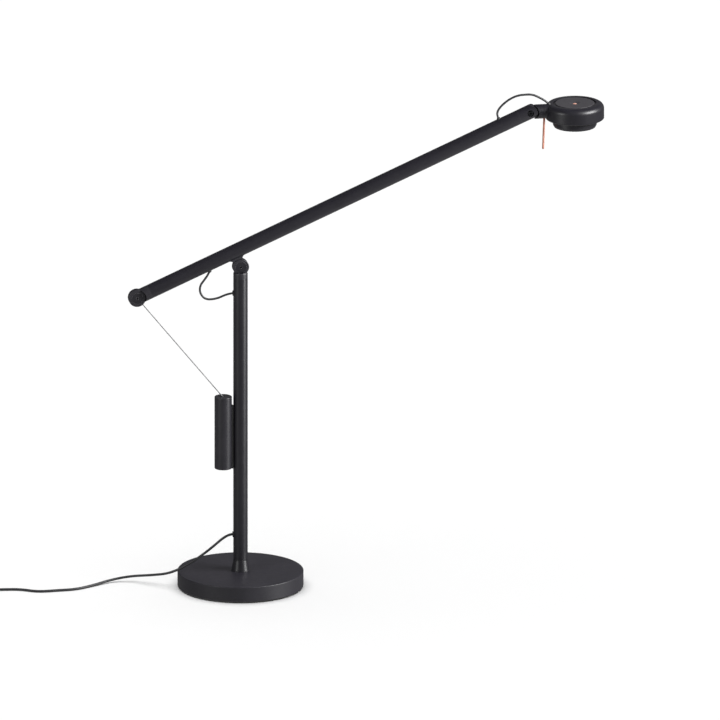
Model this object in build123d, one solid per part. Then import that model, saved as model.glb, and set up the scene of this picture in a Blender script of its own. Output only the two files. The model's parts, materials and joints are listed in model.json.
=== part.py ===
"""Balance arm desk lamp: a round base, a post, a tilting arm and a weight that slides on the post.

Millimetres, +Z up, origin at the centre of the base on the table.
The arm, the wire and the weight lie in the XZ plane, with the lamp head towards +X.
"""
from build123d import *
from math import cos, dist, pi, radians, sin, sqrt, tan
import os

# Stance
arm_angle = 23.8            # the arm above the horizontal as it stands
pivot_height = 459.4        # arm pivot above the table
arm_offset = 23.4           # arm axis above the pivot
rear_reach = 148.0          # pivot to the wire drum, along the arm
front_reach = 452.0         # pivot to the head joint, along the arm

# Fits
seat_gap = 0.03             # radial, between pieces fixed in one another
running_gap = 0.06          # radial, between a shaft and the hole it turns in
face_gap = 0.05             # between faces that slide on one another

# Tubes
tube_radius = 10.0
arm_wall = 1.5
post_wall = 1.7

# Base
base_radius = 87.0
base_height = 23.0
base_edge = 1.0
pad_radius = 82.0
pad_thickness = 2.5
pad_proud = 1.5
spindle_radius = 6.0
spindle_socket = 8.0        # how deep the spindle stands in the base
spindle_above = 29.0        # how far it reaches into the post
base_bolt_radius = 3.0
base_bolt_length = 20.0
base_bolt_head_radius = 5.0
base_bolt_head_height = 5.0
base_bolt_socket = 5.0      # hexagon, across the flats
base_bolt_sink = 1.0        # head above the pad
collar_foot_radius = 12.5
collar_flange_radius = 13.2
collar_flange_height = 1.2
collar_height = 15.5
swivel_washer_thickness = 1.0
clip_thickness = 1.1
clip_radius = 7.8
clip_groove_depth = 0.7

# Post
foot_bush_length = 24.0
ferrule_height = 15.8       # pivot down to the end of the post tube
ferrule_shoulder = 7.0      # pivot down to the top of the round ferrule
ferrule_round = 3.0
post_plug_length = 18.0

# Knuckles of the arm pivot and the wire drum
knuckle_radius = 11.4
knuckle_width = 9.6
drum_radius = 12.0
drum_width = 10.0
disc_edge = 0.6
tongue_thickness = 3.2
tongue_radius = 9.5
friction_washer_thickness = 0.35
friction_washer_radius = 8.5
disc_head_radius = 8.25     # flat round screw heads let into the discs
disc_head_thickness = 1.4
disc_head_gap = 0.15
key_hole_radius = 0.8       # two holes in the nut for a pin key
key_hole_reach = 5.5
pivot_screw_radius = 2.5
rear_screw_radius = 2.0
socket_across = 3.0         # hexagon sockets
socket_depth = 2.2
lug_half_width = 7.0
lug_width = 9.6
lug_fillet = 5.4
lug_drop = 12.0             # radius that clears the knuckle under the arm

# Rear end of the arm
wire_slot = 2.8
drum_stem_radius = 4.0
drum_stem_length = 15.0
rear_cup_radius = 12.5
rear_barrel = 20.0          # drum axis to the tube
arm_plug_length = 20.0

# Head joint
fork_radius = 10.0
fork_barrel = 16.0          # joint axis back to the tube
fork_slot = 4.2
fork_slot_depth = 10.0
head_tongue_thickness = 3.4
head_tongue_radius = 9.4
head_tongue_below = 6.0     # clears the slot when the head hangs down
head_washer_thickness = 0.35
head_screw_radius = 2.0
head_screw_head_radius = 3.5
head_recess_radius = 4.8
head_recess_depth = 4.0
head_screw_head_height = 3.4
head_nut_across = 7.0
head_nut_thickness = 2.8
neck_radius = 10.0
neck_cup_radius = 12.0
neck_length = 18.4          # joint axis to the swivel seam
neck_groove_at = 14.1
neck_groove_width = 0.7
neck_groove_depth = 0.5
swivel_radius = 3.0
swivel_seat = 4.4
swivel_seam = 0.15
swivel_nut_radius = 3.9
swivel_nut_length = 3.0

# Counterweight and wire
weight_radius = 12.0
weight_length = 103.3
weight_drop = 185.7         # pivot down to the top of the weight, as the lamp stands
weight_offset = 24.2        # weight axis behind the post axis
weight_edge = 1.0
weight_rise = 73.7          # travel up from where it stands
weight_fall = 59.0          # travel down
shoe_below_top = 13.4
shoe_width = 8.0
shoe_web = 3.0
shoe_side_gap = 0.2
shoe_post_gap = 0.4
shoe_groove = 1.8           # how deep the shoe sits in the weight
shoe_foot_thickness = 2.2
shoe_foot_inset = 1.3       # foot behind the inside of the post wall
slot_margin = 1.0
shoe_screw_radius = 1.0
shoe_screw_head_radius = 1.9
shoe_screw_head = 1.4
shoe_screw_length = 11.0
shoe_screw_hole = 8.0       # how deep they're tapped into the weight
shoe_screw_inset = 15.0
wire_radius = 0.7
wire_end_gap = 4.75         # end of the wire short of the drum axis
wire_sleeve_radius = 1.1
wire_sleeve_length = 6.5
wire_pin_depth = 1.5        # pin below the top of the weight
wire_pin_radius = 0.8
wire_pin_length = 9.0
wire_eye_radius = 2.0
wire_eye_width = 2.2
wire_stub_length = 6.0
weight_slot_depth = 4.6

# Lamp head
head_reach = 63.0           # head joint to the axis of the lamp head
head_above = 10.3           # top of the head above the neck axis
head_radius = 40.5
head_body = 22.0
head_round = 7.5
head_foot_round = 1.5
head_wall = 2.4
head_mouth_radius = 29.8
cover_radius = 27.0
cover_groove_depth = 2.2
cover_thickness = 4.2
cover_gap = 0.2
ledge_radius = 26.0
ledge_thickness = 2.0
dish_radius = 7.75
dish_depth = 1.5
button_radius = 2.75
button_gap = 0.1
button_rise = 0.9
button_flange = 0.85
button_travel = 1.0
ring_radius = 30.3
ring_drop = 11.5            # light ring below the body
ring_wall = 2.7
ring_bevel = 1.5
ring_bevel_height = 2.9
ring_flange_radius = 33.5
ring_flange_thickness = 1.5
diffuser_thickness = 2.0
diffuser_recess = 0.5
heat_sink_radius = 33.0
heat_sink_top = 9.9         # below the top of the head
heat_sink_plate = 2.5
heat_sink_fins = 12
fin_height = 2.7
fin_thickness = 1.2
fin_start = 9.0
led_board_radius = 16.0
led_board_thickness = 1.6
led_chip_radius = 6.0
led_chip_thickness = 0.8
reflector_wall = 0.9
switch_width = 6.0
switch_height = 2.4
rod_reach = 20.2            # head joint to the handle rod
rod_radius = 1.5
rod_length = 49.2
rod_bottom = 54.4
rod_lean = 2.0              # degrees off plumb

# Leads and cord
lead_radius = 1.5
cord_radius = 1.75
cord_exit_height = 74.8
post_loop_drop = 37.9       # pivot down to the lead's way into the post
grommet_flange = 1.4        # wider than the hole
grommet_wall = 0.9
grommet_proud = 1.0
bush_proud = 1.8            # slanted bushes stand out further
bush_depth = 3.0
lead_fit = 0.05
arm_hole_rear = -41.08      # along the arm from the pivot, in its underside
arm_hole_front = 43.0       # head joint back to the hole in its top
head_hole_reach = 26.7      # head joint to the lead's entry
rear_hole_tilt = 30.0       # degrees that the holes lean back
head_hole_tilt = 45.0

# Routes are points in X, Y and Z that the leads bend towards: the first is measured from the arm pivot,
# the next two from the head joint, and the last from the origin.
post_loop_route = [
    (-43.0, 0, -4.3), (-43.7, 0, -10.8), (-50.6, 0, -15.4), (-57.7, 0, -23.2), (-57.8, 0, -35.2),
    (-49.2, 0, -45.7), (-33.0, 0, -45.5), (-19.5, 0, -37.9), (-10.5, 0, -37.9),
]
head_loop_rear_route = [
    (-43.38, 0, -8.2), (-45.8, 0, -2.7), (-44.7, 0, 4.0), (-38.5, 0, 11.7), (-28.6, 0, 19.3),
    (-16.9, 0, 24.5), (-5.6, 0, 25.0),
]
head_loop_front_route = [
    (-5.6, 0, 25.0), (2.9, 0, 25.37), (13.4, 0, 20.0), (21.9, 0, 14.8), (26.7, 0, 10.0),
]
cord_route = [
    (-10.5, 0, 74.8), (-18.8, 0, 74.8), (-41.0, 0.5, 55.6), (-66.0, 1.5, 37.3),
    (-96.0, 6.0, 20.6), (-121.0, 27.0, 13.0), (-147.0, 46.0, 7.4), (-174.0, 46.0, 3.2),
    (-203.0, 27.0, 1.9), (-228.0, 13.0, 1.8), (-256.0, 11.5, 1.85), (-282.0, 9.5, 1.8),
    (-304.0, 25.5, 1.85), (-330.0, 28.0, 1.8), (-352.0, 28.0, 2.85), (-370.5, 28.0, 2.85),
]

# The spare cord is wound in four layers that spiral in and out.
coil_centre = (-374.0, 4.1)
coil_inner = 14.0
coil_pitch = 3.95
coil_layer_half_turns = 5
coil_length_half_turns = 22.5
coil_lift = 2.85            # axis of the lowest turn above the table
tie_angle = -45.0           # round the coil from +X
tie_width = 6.0
tie_thickness = 0.8
tie_gap = 0.3

# Plug-in supply
plug_length = 54.0
plug_width = 34.0
plug_height = 27.0
plug_edge = 4.0
plug_gap = 42.0             # coil to plug, along the tail
plug_nose_radius = 4.0
plug_neck_radius = 3.0
plug_nose_length = 12.0
pin_radius = 2.0
pin_length = 19.0
pin_spacing = 19.0

# Places that follow from the sizes
slope = radians(arm_angle)
post_bottom = base_height + collar_height + swivel_washer_thickness
post_top = pivot_height - ferrule_height
post_bore = tube_radius - post_wall
post_loop_height = pivot_height - post_loop_drop
weight_top = pivot_height - weight_drop
arm_bore = tube_radius - arm_wall
arm_frame = Location((0, 0, pivot_height), (0, -arm_angle, 0))
head_joint = (
    front_reach * cos(slope) - arm_offset * sin(slope),
    pivot_height + front_reach * sin(slope) + arm_offset * cos(slope),
)
head_at = (head_joint[0], 0, head_joint[1])
head_frame = Location(head_at)
rear_hole = Location((arm_hole_rear, 0, arm_offset - tube_radius), (0, 180 + rear_hole_tilt, 0))
front_hole = Location((front_reach - arm_hole_front, 0, arm_offset + tube_radius))
head_hole = Location((head_hole_reach, 0, neck_radius), (0, -head_hole_tilt, 0))
puck_frame = Location((head_joint[0] + head_reach, 0, head_joint[1] + head_above))
drum_axis = (
    -rear_reach * cos(slope) - arm_offset * sin(slope),
    pivot_height - rear_reach * sin(slope) + arm_offset * cos(slope),
)
wire_pin_at = (-weight_offset, weight_top - wire_pin_depth)
wire_length = dist(wire_pin_at, drum_axis)
wire_lean = (drum_axis[0] - wire_pin_at[0]) / wire_length, (drum_axis[1] - wire_pin_at[1]) / wire_length
weight_bottom = weight_top - weight_length
shoe_top = weight_top - shoe_below_top
knuckle_slot = tongue_thickness + 2 * (friction_washer_thickness + face_gap)


# Helpers
def turned(*points):
    """A solid of revolution about Z from a closed outline of radius and height."""
    return revolve(Plane.XZ * make_face(Polyline(*points, close=True)), Axis.Z)


def rod_x(radius, start, end):
    """A round bar along X."""
    return Pos(start, 0, 0) * Rot(0, 90, 0) * Cylinder(radius, end - start, align=(Align.CENTER, Align.CENTER, Align.MIN))


def rod_y(radius, start, end, x=0.0, z=0.0):
    """A round bar along Y at a place in XZ."""
    return Pos(x, (start + end) / 2, z) * Rot(90, 0, 0) * Cylinder(radius, end - start)


def rod_z(radius, start, end, x=0.0, y=0.0):
    """A round bar along Z."""
    return Pos(x, y, (start + end) / 2) * Cylinder(radius, end - start)


def block(x0, x1, y0, y1, z0, z1):
    """A box between two corners."""
    return Pos((x0 + x1) / 2, (y0 + y1) / 2, (z0 + z1) / 2) * Box(x1 - x0, y1 - y0, z1 - z0)


def rim(part, axis, radius, at):
    """The circular edges of a radius that lie at a place along an axis."""
    place = {"X": lambda p: p.X, "Y": lambda p: p.Y, "Z": lambda p: p.Z}[axis]
    return [e for e in part.edges().filter_by(GeomType.CIRCLE)
            if abs(e.radius - radius) < 0.01 and abs(place(e.arc_center) - at) < 0.01]


def hex_hole(across, y_face, depth, x=0.0, z=0.0):
    """A hexagon socket sunk along +Y from a face."""
    outline = Plane((x, y_face, z), x_dir=(1, 0, 0), z_dir=(0, -1, 0)) * RegularPolygon(across / sqrt(3), 6)
    return extrude(outline, amount=-depth)


def bend_radii(points, name):
    """The largest arcs that the runs allow, one for each corner of a route."""
    radii = []
    for a, b, c in zip(points, points[1:], points[2:]):
        before, after = Vector(*b) - Vector(*a), Vector(*c) - Vector(*b)
        turn = radians(before.get_angle(after))
        radii.append(0.45 * min(before.length, after.length) / tan(turn / 2))
    print(name, "radii", [round(r, 1) for r in radii])
    return radii


def tube_along(path, radius):
    """A round tube along a path, with its volume set against section times length."""
    start = Plane(origin=path @ 0, z_dir=path % 0)
    made = sweep(start * Circle(radius), path=path)
    print("  length", round(path.length, 1), "volume ratio", round(made.volume / (pi * radius ** 2 * path.length), 4))
    return made


def lead(points, radius, name, origin=(0, 0, 0)):
    """A lead that bends through a route measured from an origin."""
    places = [tuple(Vector(*p) + Vector(*origin)) for p in points]
    return tube_along(FilletPolyline(*places, radius=bend_radii(places, name)), radius)


def bush(lead_size):
    """A plain bush for a lead, standing on the XY plane and reaching down through a wall."""
    bore = lead_size + lead_fit
    wall = bore + grommet_wall
    return turned((bore, -bush_depth), (wall, -bush_depth), (wall, bush_proud - 0.4), (wall - 0.4, bush_proud),
                  (bore, bush_proud))


def bush_hole(lead_size):
    """The hole that a bush sits in."""
    return rod_z(lead_size + lead_fit + grommet_wall + seat_gap, -8, 8)


def grommet(lead_size):
    """A bush with a flange, in a round wall that is square to it."""
    bore = lead_size + lead_fit
    wall = bore + grommet_wall
    flange = wall + grommet_flange
    return turned((bore, grommet_proud), (flange - 0.3, grommet_proud), (flange, grommet_proud - 0.3), (flange, -0.7),
                  (wall, -0.7), (wall, -post_wall - 0.8), (bore, -post_wall - 0.8))


# Base
def base_plate():
    """The heavy disc, with a socket for the spindle above and a counterbore for its bolt below."""
    part = rod_z(base_radius, pad_proud, base_height)
    part = fillet(rim(part, "Z", base_radius, base_height), base_edge)
    part = chamfer(rim(part, "Z", base_radius, pad_proud), base_edge)
    part -= rod_z(pad_radius + seat_gap, pad_proud - 1, pad_thickness)
    part -= rod_z(spindle_radius + seat_gap, base_height - spindle_socket, base_height + 1)
    part -= rod_z(base_bolt_radius + 0.2, 0, base_height)
    part -= rod_z(base_bolt_head_radius + 0.5, 0, pad_thickness + base_bolt_head_height + base_bolt_sink)
    return part


def base_pad():
    part = rod_z(pad_radius, 0, pad_thickness)
    return chamfer(rim(part, "Z", pad_radius, 0), 0.4)


def base_spindle():
    """The pin that the post turns on, with a groove for its clip and a tapped hole below."""
    top = post_bottom + spindle_above
    groove = post_bottom + foot_bush_length + face_gap
    inner = spindle_radius - clip_groove_depth
    part = turned((0, base_height - spindle_socket), (spindle_radius, base_height - spindle_socket),
                  (spindle_radius, groove), (inner, groove), (inner, groove + clip_thickness + 0.1),
                  (spindle_radius, groove + clip_thickness + 0.1), (spindle_radius, top - 1),
                  (spindle_radius - 1, top), (0, top))
    return part - rod_z(base_bolt_radius + seat_gap, base_height - spindle_socket - 1, base_height + 12)


def base_bolt():
    """The cap screw that draws the spindle down from below."""
    head_top = pad_thickness + base_bolt_head_height + base_bolt_sink
    part = rod_z(base_bolt_head_radius, head_top - base_bolt_head_height, head_top)
    part += rod_z(base_bolt_radius, head_top - 1, head_top + base_bolt_length)
    socket = Plane((0, 0, head_top - base_bolt_head_height)) * RegularPolygon(base_bolt_socket / sqrt(3), 6)
    return part - extrude(socket, amount=3)


def foot_collar():
    """The flared collar where the post stands on the base."""
    bore = spindle_radius + seat_gap
    flange = base_height + collar_flange_height
    part = turned((bore, base_height), (collar_flange_radius, base_height),
                  (collar_flange_radius, flange), (collar_foot_radius, flange),
                  (tube_radius, base_height + collar_height), (bore, base_height + collar_height))
    return fillet(rim(part, "Z", collar_flange_radius, flange), 0.5)


def swivel_washer():
    low = base_height + collar_height
    return turned((spindle_radius + seat_gap, low), (tube_radius - 1.2, low),
                  (tube_radius - 1.2, post_bottom - face_gap), (spindle_radius + seat_gap, post_bottom - face_gap))


def spindle_clip():
    """The open spring ring that keeps the post on its spindle."""
    low = post_bottom + foot_bush_length + face_gap + 0.05
    inner = spindle_radius - clip_groove_depth + seat_gap
    part = turned((inner, low), (clip_radius, low), (clip_radius, low + clip_thickness), (inner, low + clip_thickness))
    return part - block(0, clip_radius + 1, -1.5, 1.5, low - 1, low + clip_thickness + 1)


# Post
def post_tube():
    """The upright tube, with the guide slot for the weight and two holes for the lead, all at the rear."""
    part = rod_z(tube_radius, post_bottom, post_top) - rod_z(post_bore, post_bottom - 1, post_top + 1)
    half = shoe_web / 2 + shoe_side_gap
    low = weight_bottom - weight_fall - slot_margin + half
    high = shoe_top + weight_rise + slot_margin - half
    part -= block(-tube_radius - 1, 0, -half, half, low, high)
    part -= Pos(0, 0, low) * rod_x(half, -tube_radius - 1, 0)
    part -= Pos(0, 0, high) * rod_x(half, -tube_radius - 1, 0)
    for height, size in ((cord_exit_height, cord_radius), (post_loop_height, lead_radius)):
        part -= Pos(0, 0, height) * rod_x(size + lead_fit + grommet_wall + seat_gap, -tube_radius - 1, 0)
    return part


def post_foot_bush():
    return turned((spindle_radius + running_gap, post_bottom), (post_bore - seat_gap, post_bottom),
                  (post_bore - seat_gap, post_bottom + foot_bush_length),
                  (spindle_radius + running_gap, post_bottom + foot_bush_length))


def rear_grommet(height, size):
    """A grommet in the rear wall of the post."""
    part = Pos(-tube_radius, 0, height) * Rot(0, -90, 0) * grommet(size)
    return part - (rod_z(tube_radius + seat_gap, height - 9, height + 9) - Pos(0, 0, height) * rod_x(
        size + lead_fit + grommet_wall, -tube_radius - 1, 0))


def post_knuckle():
    """The top of the post: a plug, a round ferrule and the two cheeks that hold the arm's tongue."""
    part = rod_z(tube_radius, post_top, pivot_height - ferrule_shoulder)
    part = fillet(rim(part, "Z", tube_radius, pivot_height - ferrule_shoulder), ferrule_round)
    disc = rod_y(knuckle_radius, -knuckle_width / 2, knuckle_width / 2, z=pivot_height)
    disc = chamfer(disc.edges().filter_by(GeomType.CIRCLE), disc_edge)
    part = part + disc + rod_z(post_bore - seat_gap, post_top - post_plug_length, post_top)
    part -= block(-20, 20, -knuckle_slot / 2, knuckle_slot / 2, pivot_height - tongue_radius - 0.5, pivot_height + 20)
    return part - disc_cuts(knuckle_width, pivot_screw_radius, z=pivot_height)


def disc_cuts(width, screw_radius, x=0.0, z=0.0):
    """The through hole of a disc and the flat recesses for its screw and nut."""
    recess = disc_head_radius + disc_head_gap
    cuts = rod_y(screw_radius + seat_gap, -width, width, x, z)
    cuts += rod_y(recess, -width, -width / 2 + disc_head_thickness, x, z)
    return cuts + rod_y(recess, width / 2 - disc_head_thickness, width, x, z)


def disc_screw(width, screw_radius, x=0.0, z=0.0):
    """A screw with a flat round head that lies flush in its disc."""
    face = -width / 2
    part = rod_y(disc_head_radius, face, face + disc_head_thickness, x, z)
    part = chamfer(rim(part, "Y", disc_head_radius, face), 0.3)
    part += rod_y(screw_radius, face + 0.5, width / 2 - 0.3, x, z)
    return part - hex_hole(socket_across, face, socket_depth, x, z)


def disc_nut(width, screw_radius, x=0.0, z=0.0):
    """The round nut let into the far side of a disc, with two holes for a pin key."""
    face = width / 2
    part = rod_y(disc_head_radius, face - disc_head_thickness, face, x, z)
    part = chamfer(rim(part, "Y", disc_head_radius, face), 0.3)
    part -= rod_y(screw_radius + seat_gap, -width, width, x, z)
    for side in (-1, 1):
        part -= rod_y(key_hole_radius, face - 1, face + 1, x + side * key_hole_reach, z)
    return part


def post_inner_lead():
    """The lead up the inside of the post, clear of the guide shoe."""
    x, start = 3.0, cord_route[0][0]
    points = [(start, 0, cord_exit_height), (-3.0, 0, cord_exit_height), (x, 0, cord_exit_height + 14),
              (x, 0, post_loop_height - 16), (-3.0, 0, post_loop_height), (start, 0, post_loop_height)]
    return lead(points, lead_radius, "post_inner_lead")


# Arm (in the arm's own frame, pivot at the origin, arm axis above it)
def on_arm(part):
    return arm_frame * part


def arm_tube():
    start, end = -rear_reach + rear_barrel, front_reach - fork_barrel
    part = rod_x(tube_radius, start, end) - rod_x(arm_bore, start - 1, end + 1)
    part = Pos(0, 0, arm_offset) * part
    return on_arm(part - rear_hole * bush_hole(lead_radius) - front_hole * bush_hole(lead_radius))


def arm_lug():
    """The saddle brazed under the arm, narrowing to the tongue between the post's cheeks."""
    w, r = lug_half_width, lug_fillet
    under = arm_offset - sqrt(tube_radius ** 2 - (lug_width / 2) ** 2)
    diagonal = r * (1 - sin(pi / 4))
    half = [Line((0, 2), (w, 2)), Line((w, 2), (w, under - r)),
            ThreePointArc((w, under - r), (w + diagonal, under - diagonal), (w + r, under)),
            Line((w + r, under), (w + r, under + 4)), Line((w + r, under + 4), (0, under + 4)),
            Line((0, under + 4), (0, 2))]
    flank = make_face(Curve() + half)
    outline = flank + mirror(flank, Plane.YZ)
    part = extrude(Plane.XZ * outline, amount=lug_width / 2, both=True)
    part -= rod_y(lug_drop, -lug_width, lug_width)
    part += block(-w, w, -tongue_thickness / 2, tongue_thickness / 2, 0, arm_offset - tube_radius)
    part += rod_y(tongue_radius, -tongue_thickness / 2, tongue_thickness / 2)
    part -= rod_y(pivot_screw_radius + running_gap, -lug_width, lug_width)
    return on_arm(part - Pos(0, 0, arm_offset) * rod_x(tube_radius + seat_gap / 2, -40, 40))


def washer_pair(thickness, outer, inner, inside):
    """Two friction washers, one on each face of a tongue."""
    ring = rod_y(outer, 0, thickness) - rod_y(inner, -1, thickness + 1)
    return Pos(0, inside, 0) * ring + Pos(0, -inside - thickness, 0) * ring


def pivot_washers():
    return on_arm(washer_pair(friction_washer_thickness, friction_washer_radius,
                              pivot_screw_radius + running_gap, tongue_thickness / 2))


def rear_fitting():
    """The plug in the rear end of the arm, cupped round the wire drum."""
    part = rod_x(tube_radius, 5, rear_barrel) + rod_x(arm_bore - seat_gap, rear_barrel, rear_barrel + arm_plug_length)
    part -= rod_y(rear_cup_radius, -tube_radius - 1, tube_radius + 1)
    part -= rod_x(drum_stem_radius + seat_gap, 0, drum_radius + drum_stem_length)
    return on_arm(Pos(-rear_reach, 0, arm_offset) * part)


def rear_drum():
    """The disc that the wire hangs from: two cheeks, open below and behind, on a stem in the arm."""
    part = rod_y(drum_radius, -drum_width / 2, drum_width / 2)
    part = chamfer(part.edges().filter_by(GeomType.CIRCLE), disc_edge)
    part += rod_x(drum_stem_radius, drum_radius - 2, drum_radius + drum_stem_length - 0.5)
    half = wire_slot / 2
    part -= block(-drum_radius - 1, drum_radius * 0.38, -half, half, -drum_radius - 1, drum_radius + 1)
    part -= block(0, drum_radius * 0.85, -half, half, -drum_radius - 1, -drum_radius * 0.2)
    return on_arm(Pos(-rear_reach, 0, arm_offset) * (part - disc_cuts(drum_width, rear_screw_radius)))


def on_drum(part):
    return on_arm(Pos(-rear_reach, 0, arm_offset) * part)


def front_fork():
    """The rounded end of the arm, slotted for the tongue of the neck."""
    part = rod_x(tube_radius, -fork_barrel, fork_radius)
    part &= block(-fork_barrel, 0, -20, 20, -20, 20) + rod_y(fork_radius, -20, 20)
    part += rod_x(arm_bore - seat_gap, -fork_barrel - arm_plug_length, -fork_barrel)
    part -= block(-fork_slot_depth, 20, -fork_slot / 2, fork_slot / 2, -20, 20)
    part -= rod_y(head_screw_radius + seat_gap, -20, 20)
    recess = tube_radius - head_recess_depth
    part -= rod_y(head_recess_radius, -20, -recess) + rod_y(head_recess_radius, recess, 20)
    return on_fork(part)


def on_fork(part):
    return on_arm(Pos(front_reach, 0, arm_offset) * part)


def head_screw():
    face = tube_radius - head_recess_depth
    outside = -face - head_screw_head_height
    part = rod_y(head_screw_head_radius, outside, -face)
    part = chamfer(rim(part, "Y", head_screw_head_radius, outside), 0.4)
    part += rod_y(head_screw_radius, -face - 1, face + 3.0)
    return on_fork(part - hex_hole(socket_across, outside, socket_depth))


def head_nut():
    """A hexagon nut in the recess on the far side of the fork."""
    face = tube_radius - head_recess_depth
    outline = Plane((0, face, 0), x_dir=(1, 0, 0), z_dir=(0, 1, 0)) * RegularPolygon(head_nut_across / sqrt(3), 6)
    return on_fork(extrude(outline, amount=head_nut_thickness) - rod_y(head_screw_radius + seat_gap, 0, 20))


def arm_bushes():
    """The two bushes where the lead leaves the arm, below at the rear and above at the front."""
    return on_arm(Compound(children=[rear_hole * bush(lead_radius), front_hole * bush(lead_radius)]))


def arm_inner_lead():
    """The lead along the inside of the arm."""
    low, high = arm_offset - tube_radius + 0.1, arm_offset + tube_radius - 0.1
    slant = tan(radians(rear_hole_tilt))
    front = front_reach - arm_hole_front
    points = [(arm_hole_rear, 0, low), (arm_hole_rear + 8 * slant, 0, low + 8), (arm_hole_rear + 17, 0, arm_offset),
              (front - 12, 0, arm_offset - 0.5), (front, 0, high - 8), (front, 0, high)]
    return on_arm(lead(points, lead_radius, "arm_inner_lead"))


# Counterweight
def counterweight():
    """The round weight, grooved for its guide shoe and slotted at the top for the wire's eye."""
    part = rod_z(weight_radius, weight_bottom, weight_top, x=-weight_offset)
    part = fillet(part.edges().filter_by(GeomType.CIRCLE), weight_edge)
    front = -weight_offset + weight_radius
    part -= block(front - shoe_groove - seat_gap, front + 1, -shoe_width / 2 - seat_gap, shoe_width / 2 + seat_gap,
                  weight_bottom - 1, shoe_top + seat_gap)
    half = wire_eye_width / 2 + 0.3
    part -= block(-weight_offset - 5, -weight_offset + 2.6, -half, half, weight_top - weight_slot_depth, weight_top + 1)
    part -= rod_y(wire_pin_radius + seat_gap, -wire_pin_length / 2, weight_radius + 1, *wire_pin_at)
    for height in shoe_screw_heights():
        part -= Pos(0, 0, height) * rod_x(shoe_screw_radius + seat_gap, front - shoe_groove - shoe_screw_hole, front)
    return part


def shoe_screw_heights():
    return weight_bottom + shoe_screw_inset, shoe_top - shoe_screw_inset


def guide_shoe():
    """The slide between weight and post: a back, a web through the slot and a foot inside the tube."""
    back = -weight_offset + weight_radius - shoe_groove
    face = -tube_radius - shoe_post_gap
    foot = -post_bore + shoe_foot_inset
    part = block(back, face, -shoe_width / 2, shoe_width / 2, weight_bottom, shoe_top)
    part += block(face, foot + 1, -shoe_web / 2, shoe_web / 2, weight_bottom, shoe_top)
    part += block(foot, foot + shoe_foot_thickness, -shoe_width / 2, shoe_width / 2, weight_bottom, shoe_top)
    for height in shoe_screw_heights():
        part -= Pos(0, 0, height) * rod_x(shoe_screw_radius + seat_gap, back - 1, foot + 5)
        sunk = foot + shoe_foot_thickness - shoe_screw_head
        part -= Pos(0, 0, height) * rod_x(shoe_screw_head_radius + 0.1, sunk, foot + 5)
    return part


def shoe_screws():
    face = -post_bore + shoe_foot_inset + shoe_foot_thickness
    screw = rod_x(shoe_screw_head_radius, face - shoe_screw_head, face - 0.1)
    screw += rod_x(shoe_screw_radius, face - shoe_screw_length, face - 0.5)
    low, high = shoe_screw_heights()
    return Pos(0, 0, low) * screw + Pos(0, 0, high) * screw


def wire_pin():
    """The cross pin that the wire's eye swings on, pressed in from the far side."""
    x, z = wire_pin_at
    return rod_y(wire_pin_radius, -wire_pin_length / 2 + 0.1, wire_pin_length / 2, x, z)


# Wire
def along_wire(part):
    """From a piece that stands on Z to the line from the weight's pin to the drum."""
    place = Plane(origin=(wire_pin_at[0], 0, wire_pin_at[1]), x_dir=(0, 1, 0), z_dir=(wire_lean[0], 0, wire_lean[1]))
    return place.location * part


def balance_wire():
    return along_wire(rod_z(wire_radius, wire_eye_radius + 0.4, wire_length - wire_end_gap - 0.3))


def wire_sleeve():
    """The crimped sleeve on the upper end, inside the drum."""
    top = wire_length - wire_end_gap
    sleeve = rod_z(wire_sleeve_radius, top - wire_sleeve_length, top)
    return along_wire(sleeve - rod_z(wire_radius + seat_gap, 0, top - 0.25))


def wire_eye():
    """The eye on the lower end, with the stub that grips the wire."""
    x, z = wire_pin_at
    stub = along_wire(rod_z(wire_sleeve_radius, wire_eye_radius - 0.6, wire_stub_length))
    part = rod_y(wire_eye_radius, -wire_eye_width / 2, wire_eye_width / 2, x, z) + stub
    part -= along_wire(rod_z(wire_radius + seat_gap, wire_eye_radius + 0.3, wire_stub_length + 1))
    return part - rod_y(wire_pin_radius + running_gap, -5, 5, x, z)


# Neck (in the head frame, joint axis at the origin, neck along +X)
def neck_knuckle():
    """The short neck, cupped round the fork, with a tongue in its slot."""
    part = rod_x(neck_radius, 4, neck_length) - rod_y(neck_cup_radius, -20, 20)
    ring = rod_x(neck_radius + 1, neck_groove_at, neck_groove_at + neck_groove_width)
    ring -= rod_x(neck_radius - neck_groove_depth, neck_groove_at - 1, neck_length)
    part = chamfer(rim(part, "X", neck_radius, neck_length), 0.3) - ring
    half = head_tongue_thickness / 2
    part += block(0, neck_cup_radius + 1, -half, half, -head_tongue_below, head_tongue_radius)
    part += rod_y(head_tongue_radius, -half, half)
    part -= rod_y(head_screw_radius + running_gap, -20, 20)
    return head_frame * (part - rod_x(swivel_radius + seat_gap, neck_length - swivel_seat, neck_length + 1))


def head_washers():
    return head_frame * washer_pair(head_washer_thickness, head_tongue_radius - 1,
                                    head_screw_radius + running_gap, head_tongue_thickness / 2)


def swivel_inside():
    """Where the neck's bore comes out inside the housing."""
    return head_reach - (head_radius - head_wall)


def swivel_spindle():
    return head_frame * rod_x(swivel_radius, neck_length - swivel_seat + 0.1, swivel_inside() + swivel_nut_length + 1)


def swivel_nut():
    start = swivel_inside() + 0.35
    ring = rod_x(swivel_nut_radius, start, start + swivel_nut_length)
    return head_frame * (ring - rod_x(swivel_radius + seat_gap, start - 1, start + swivel_nut_length + 1))


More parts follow.
